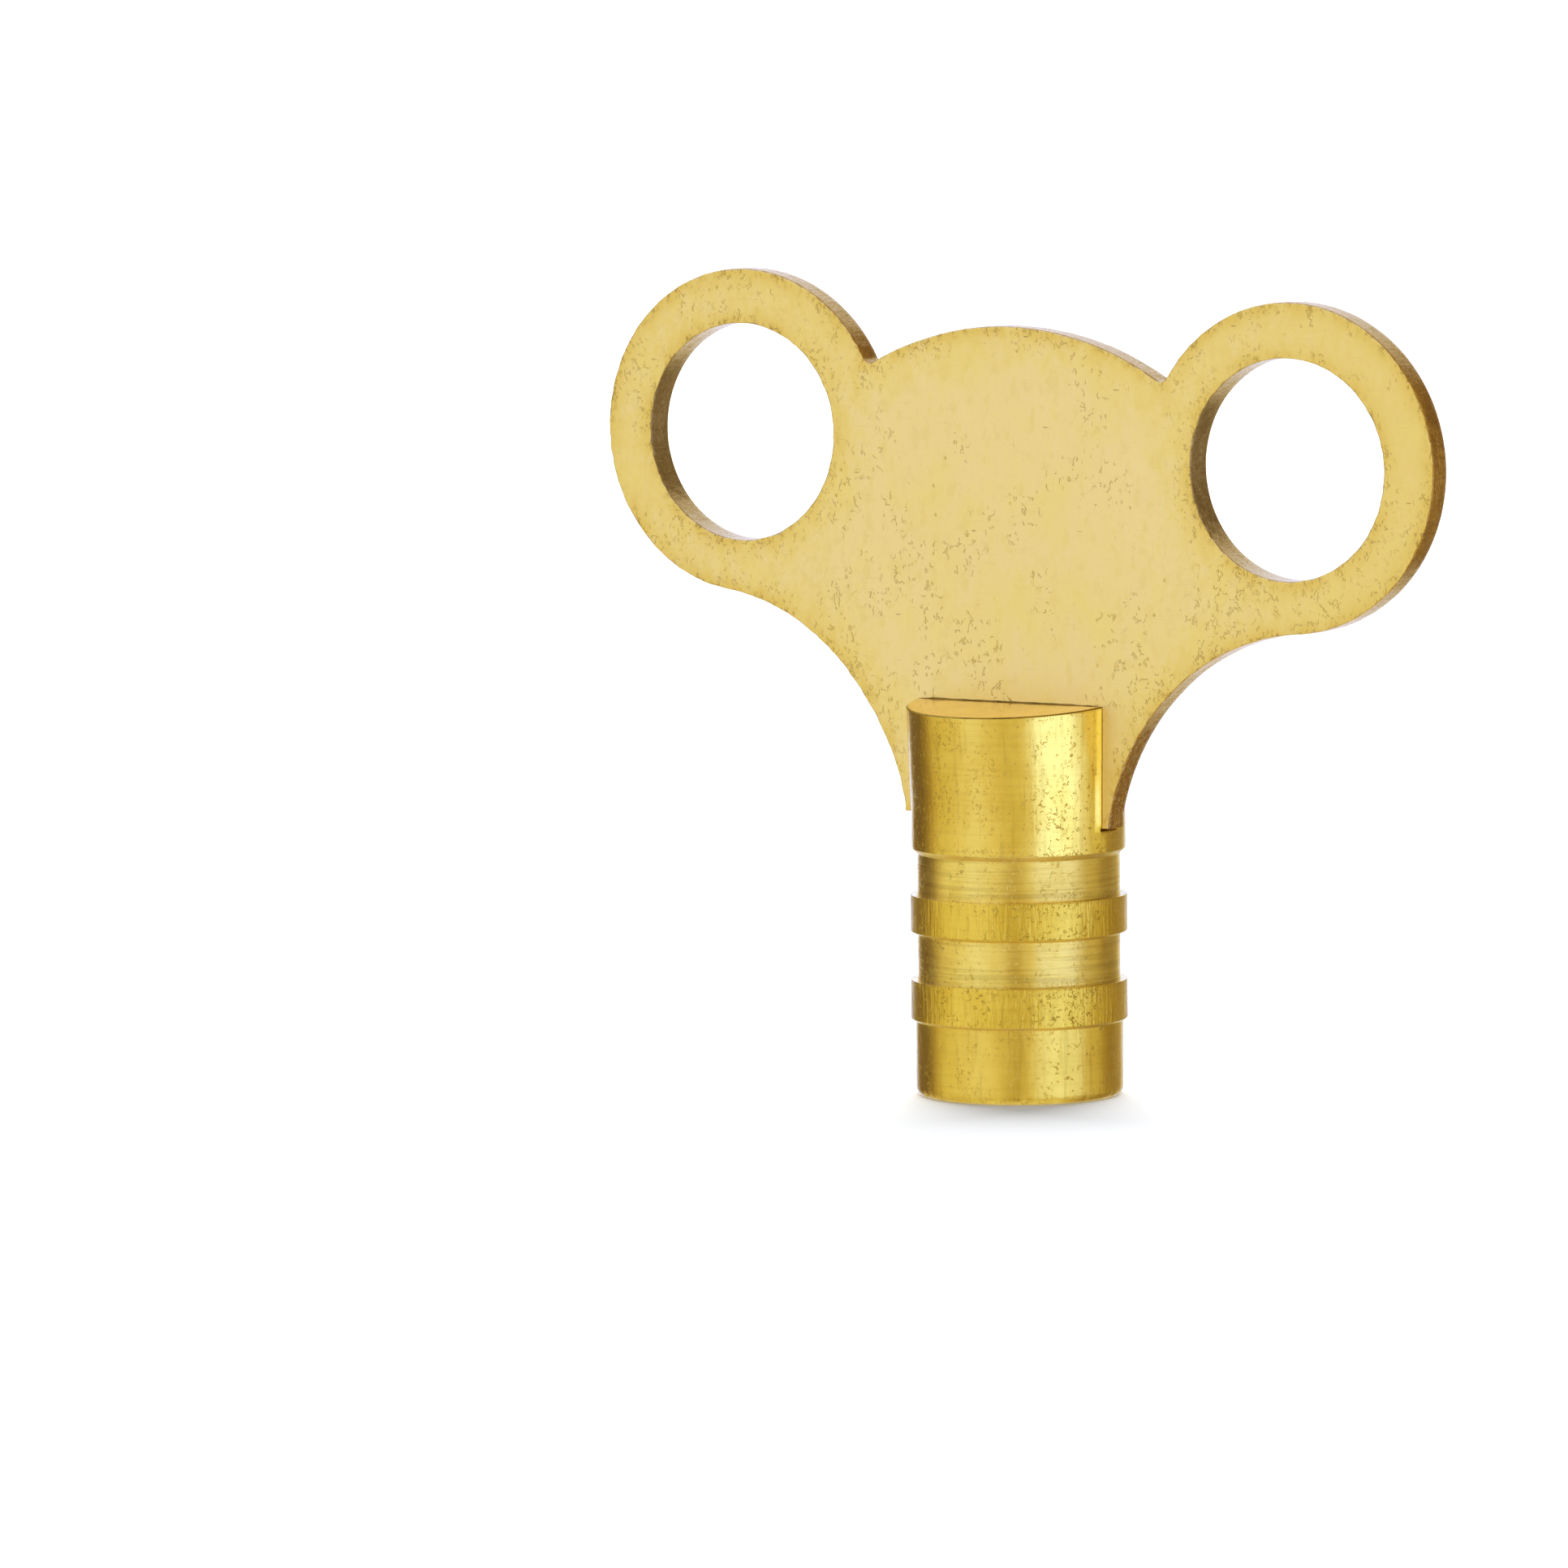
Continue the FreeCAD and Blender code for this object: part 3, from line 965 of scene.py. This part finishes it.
plate = mesh_object("wing_stamped", *build_plate(), ["face", "wall", "bore"])
finish_plate(plate)
shade(plate, 60)
plate.data.materials.append(sheet_brass())
outline = sheared_brass(
    "sheared_outline", (0.58, 0.315, 0.048), (0.48, 0.24, 0.034),
    torn=0.13, low_reflection_share=0.40, low_reflection_from=23.0, low_reflection_to=17.0,
)
plate.data.materials.append(outline)
bore = sheared_brass(
    "sheared_bore", (0.45, 0.31, 0.125), (0.37, 0.25, 0.095),
    torn=0.15, low_reflection_share=0.75, low_reflection_from=25.4, low_reflection_to=23.2,
)
plate.data.materials.append(bore)

for obj, node, slot in ((barrel, "barrel", "turned_brass"), (plate, "wing_plate", "stamped_brass")):
    obj.data.transform(Matrix.Scale(MM, 4))
    obj.data.update()
    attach(obj, "root")
    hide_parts(node)

# ---------------------------------------------------------------- floor, light and camera
low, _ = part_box("barrel")
floor_mesh = bpy.data.meshes.new("floor")
reach = 2.0
corners = [(-reach, -reach, low.z), (reach, -reach, low.z), (reach, reach, low.z), (-reach, reach, low.z)]
floor_mesh.from_pydata(corners, [], [(0, 1, 2, 3)])
floor = bpy.data.objects.new("floor", floor_mesh)
bpy.context.scene.collection.objects.link(floor)
floor.visible_glossy = False
f = Nodes("floor_white")
out = f.add("ShaderNodeOutputMaterial")
paint = f.add("ShaderNodeBsdfDiffuse")
paint.inputs[0].default_value = (0.86, 0.86, 0.86, 1)
f.tree.links.new(paint.outputs[0], out.inputs[0])
floor_mesh.materials.append(f.mat)


# Brightness of the studio that the metal reflects. Each row is a bearing in degrees, 0 behind the
# camera and positive to its right, then the brightness level with the object and that just above and
# below the level zone, whose middle is LEVEL degrees below the horizon.
CAMERA_BEARING = 32.9
LEVEL = 8.5
AROUND = [
    (-172, 1.20, 1.05), (-164, 1.08, 0.95), (-157, 0.48, 0.42), (-150, 0.22, 0.20), (-128, 0.20, 0.18),
    (-116, 0.33, 0.22), (-103, 0.70, 0.60), (-92, 0.82, 0.84), (-80, 0.87, 0.84), (-66, 0.92, 0.92),
    (-48, 0.97, 0.95), (-34, 0.93, 0.92), (-20, 0.89, 0.72), (-11, 0.87, 0.40), (0, 0.84, 0.46),
    (14, 0.98, 0.74), (22, 1.34, 0.60), (34, 1.46, 0.58), (59, 1.44, 0.62), (71, 1.12, 0.64),
    (82, 0.88, 0.42), (94, 0.82, 0.36), (101, 0.74, 0.32), (109, 0.50, 0.24), (118, 0.38, 0.24),
    (132, 0.40, 0.28), (146, 0.45, 0.36), (156, 0.75, 0.75), (166, 1.05, 0.98),
]
# the same for further out: a bearing, the brightness well above and that well below
BEYOND = [
    (-172, 0.96, 0.90), (-150, 1.00, 0.75), (-30, 1.40, 0.85), (-8, 0.40, 0.36), (14, 0.94, 0.84),
    (60, 0.84, 0.80), (92, 0.46, 0.44), (118, 0.30, 0.30), (132, 0.35, 0.30), (149, 0.90, 0.58),
    (168, 0.96, 0.92),
]
BRIGHTEST = 1.5  # the last row of GLOW; a colour ramp holds only values from 0 to 1
# the colour of each brightness: dark screens are warm, the soft light's core is cool
GLOW = [
    (0.0, (0.0, 0.0, 0.0)), (0.20, (0.20, 0.148, 0.095)), (0.40, (0.40, 0.316, 0.17)),
    (0.60, (0.60, 0.50, 0.27)), (0.84, (0.84, 0.82, 0.60)), (0.93, (0.93, 0.96, 1.0)),
    (1.02, (1.02, 1.15, 1.7)), (1.26, (1.26, 1.60, 3.3)), (1.5, (1.5, 2.0, 4.2)),
]
GLOW_TOP = 4.2  # the largest number in it
# brightness straight up and straight down in reflections
CEILING = 0.45
UNDERFOOT = 0.93
# strength of the white seen behind the object, and of the soft light on rough surfaces
BACKDROP = 1.1
FILL = 0.54


def studio():
    """White room with one tall soft light, dark screens at the sides and a dimmer ceiling."""
    world = bpy.data.worlds.new("studio")
    bpy.context.scene.world = world
    world.use_nodes = True
    tree = world.node_tree
    tree.nodes.clear()

    def new(kind, **settings):
        node = tree.nodes.new(kind)
        for k, v in settings.items():
            setattr(node, k, v)
        return node

    def link(a, b):
        tree.links.new(a, b)

    def calc(op, a, b=0.0):
        node = new("ShaderNodeMath", operation=op)
        for k, v in ((0, a), (1, b)):
            if isinstance(v, bpy.types.NodeSocket):
                link(v, node.inputs[k])
            else:
                node.inputs[k].default_value = v
        return node.outputs[0]

    def band(value, start, end):
        """0 at start, 1 at end, smooth between; start and end in degrees of elevation."""
        node = new("ShaderNodeMapRange", interpolation_type="SMOOTHSTEP")
        link(value, node.inputs[0])
        node.inputs[1].default_value = math.sin(math.radians(start))
        node.inputs[2].default_value = math.sin(math.radians(end))
        return node.outputs[0]

    def blend(share, a, b):
        """a where share is 0, b where it is 1."""
        keep = calc("MULTIPLY", a, calc("SUBTRACT", 1.0, share))
        return calc("ADD", keep, calc("MULTIPLY", b, share))

    def by_bearing(rows, column):
        """Brightness read from one column of a table, by the bearing looked at."""
        ramp = new("ShaderNodeValToRGB")
        ramp.color_ramp.interpolation = "LINEAR"
        link(turn, ramp.inputs[0])
        stops = ramp.color_ramp.elements
        level = [(((CAMERA_BEARING + row[0]) % 360) / 360, row[column]) for row in rows]
        for place, value in sorted(level):
            stop = stops.new(place)
            stop.color = (value / BRIGHTEST, value / BRIGHTEST, value / BRIGHTEST, 1)
        first = sorted(level)[0][1]
        last = sorted(level)[-1][1]
        for stop in (stops[0], stops[len(stops) - 1]):
            edge = (first + last) / 2 / BRIGHTEST
            stop.color = (edge, edge, edge, 1)
        return calc("MULTIPLY", ramp.outputs[0], BRIGHTEST)

    coord = new("ShaderNodeTexCoord")
    split = new("ShaderNodeSeparateXYZ")
    link(coord.outputs["Generated"], split.inputs[0])
    x, y, z = split.outputs
    # bearing from -Y, turning towards +X, as a share of a full turn
    bearing = calc("ARCTAN2", x, calc("MULTIPLY", y, -1.0))
    turn = calc("FRACT", calc("ADD", calc("DIVIDE", bearing, 2 * math.pi), 1.0))
    off_level = calc("ABSOLUTE", calc("ADD", z, math.sin(math.radians(LEVEL))))
    value = blend(band(off_level, 8, 14), by_bearing(AROUND, 1), by_bearing(AROUND, 2))
    # the zones well above and well below, then a dim ceiling and a pale floor
    value = blend(band(z, 25, 29.5), value, by_bearing(BEYOND, 1))
    value = blend(band(z, 44, 60), value, CEILING)
    value = blend(band(calc("MULTIPLY", z, -1.0), 22, 30), value, by_bearing(BEYOND, 2))
    value = blend(band(calc("MULTIPLY", z, -1.0), 52, 70), value, UNDERFOOT)
    glow = new("ShaderNodeValToRGB")
    link(calc("DIVIDE", value, BRIGHTEST), glow.inputs[0])
    stops = glow.color_ramp.elements
    stops.remove(stops[1])
    for place, color in GLOW:
        stop = stops.new(place / BRIGHTEST) if place else stops[0]
        stop.color = (*(q / GLOW_TOP for q in color), 1)
    room = new("ShaderNodeBackground")
    link(glow.outputs[0], room.inputs[0])
    room.inputs[1].default_value = GLOW_TOP
    white = new("ShaderNodeBackground")
    white.inputs[0].default_value = (1, 1, 1, 1)
    white.inputs[1].default_value = BACKDROP
    fill = new("ShaderNodeBackground")
    fill.inputs[0].default_value = (0.94, 1.0, 1.10, 1)
    fill.inputs[1].default_value = FILL
    rays = new("ShaderNodeLightPath")
    pick = new("ShaderNodeMixShader")
    link(rays.outputs["Is Glossy Ray"], pick.inputs[0])
    link(fill.outputs[0], pick.inputs[1])
    link(room.outputs[0], pick.inputs[2])
    show = new("ShaderNodeMixShader")
    link(rays.outputs["Is Camera Ray"], show.inputs[0])
    link(pick.outputs[0], show.inputs[1])
    link(white.outputs[0], show.inputs[2])
    end = new("ShaderNodeOutputWorld")
    link(show.outputs[0], end.inputs[0])
    world.cycles.sampling_method = "NONE"


LAMP_WIDTH = 9.1  # metres
LAMP_HEIGHT = 3.3
LAMP_AWAY = 5.0
LAMP_LEVEL = 27  # degrees above the floor
LAMP_WATTS = 1000.0


def back_light():
    """Broad soft light low behind the object: it lays the short grey shadow in front of the base."""
    data = bpy.data.lights.new("back_light", "AREA")
    data.shape = "RECTANGLE"
    data.size = LAMP_WIDTH
    data.size_y = LAMP_HEIGHT
    data.energy = LAMP_WATTS
    lamp = bpy.data.objects.new("back_light", data)
    bearing = math.radians(CAMERA_BEARING + 180)
    level = math.radians(LAMP_LEVEL)
    flat = math.cos(level)
    away = Vector((math.sin(bearing) * flat, -math.cos(bearing) * flat, math.sin(level)))
    lamp.location = away * LAMP_AWAY
    lamp.rotation_euler = away.to_track_quat("Z", "Y").to_euler()
    lamp.visible_glossy = False
    lamp.visible_camera = False
    bpy.context.scene.collection.objects.link(lamp)


studio()
back_light()

scene = bpy.context.scene
scene.view_settings.view_transform = "Standard"
scene.view_settings.look = "None"

# camera: to the right of straight in front, looking a little down with a slight roll, from far
# enough away for the photo's mild perspective; distances in metres, the lens in mm
VIEW_BEARING = math.radians(32.9241)
VIEW_DOWN = math.radians(5.4395)
VIEW_ROLL = math.radians(0.4456)
LENS = 260.562
DISTANCE = 0.471628
SIDE_SHIFT = 0.0098046
DROP = 0.0128464
flat = math.cos(VIEW_DOWN)
ahead = Vector((-math.sin(VIEW_BEARING) * flat, math.cos(VIEW_BEARING) * flat, -math.sin(VIEW_DOWN)))
level_right = Vector((math.cos(VIEW_BEARING), math.sin(VIEW_BEARING), 0))
level_up = level_right.cross(ahead)
right = level_right * math.cos(VIEW_ROLL) - level_up * math.sin(VIEW_ROLL)
upward = level_up * math.cos(VIEW_ROLL) + level_right * math.sin(VIEW_ROLL)
target = Vector((0, 0, low.z))
place = target - ahead * DISTANCE - right * SIDE_SHIFT + upward * DROP
cam = bpy.data.objects.new("camera", bpy.data.cameras.new("camera"))
cam.data.sensor_width = 36
cam.data.lens = LENS
cam.data.clip_start = 0.01
cam.data.clip_end = 20
turned = Matrix((right, upward, -ahead)).transposed()
cam.matrix_world = Matrix.Translation(place) @ turned.to_4x4()
scene.collection.objects.link(cam)
scene.camera = cam
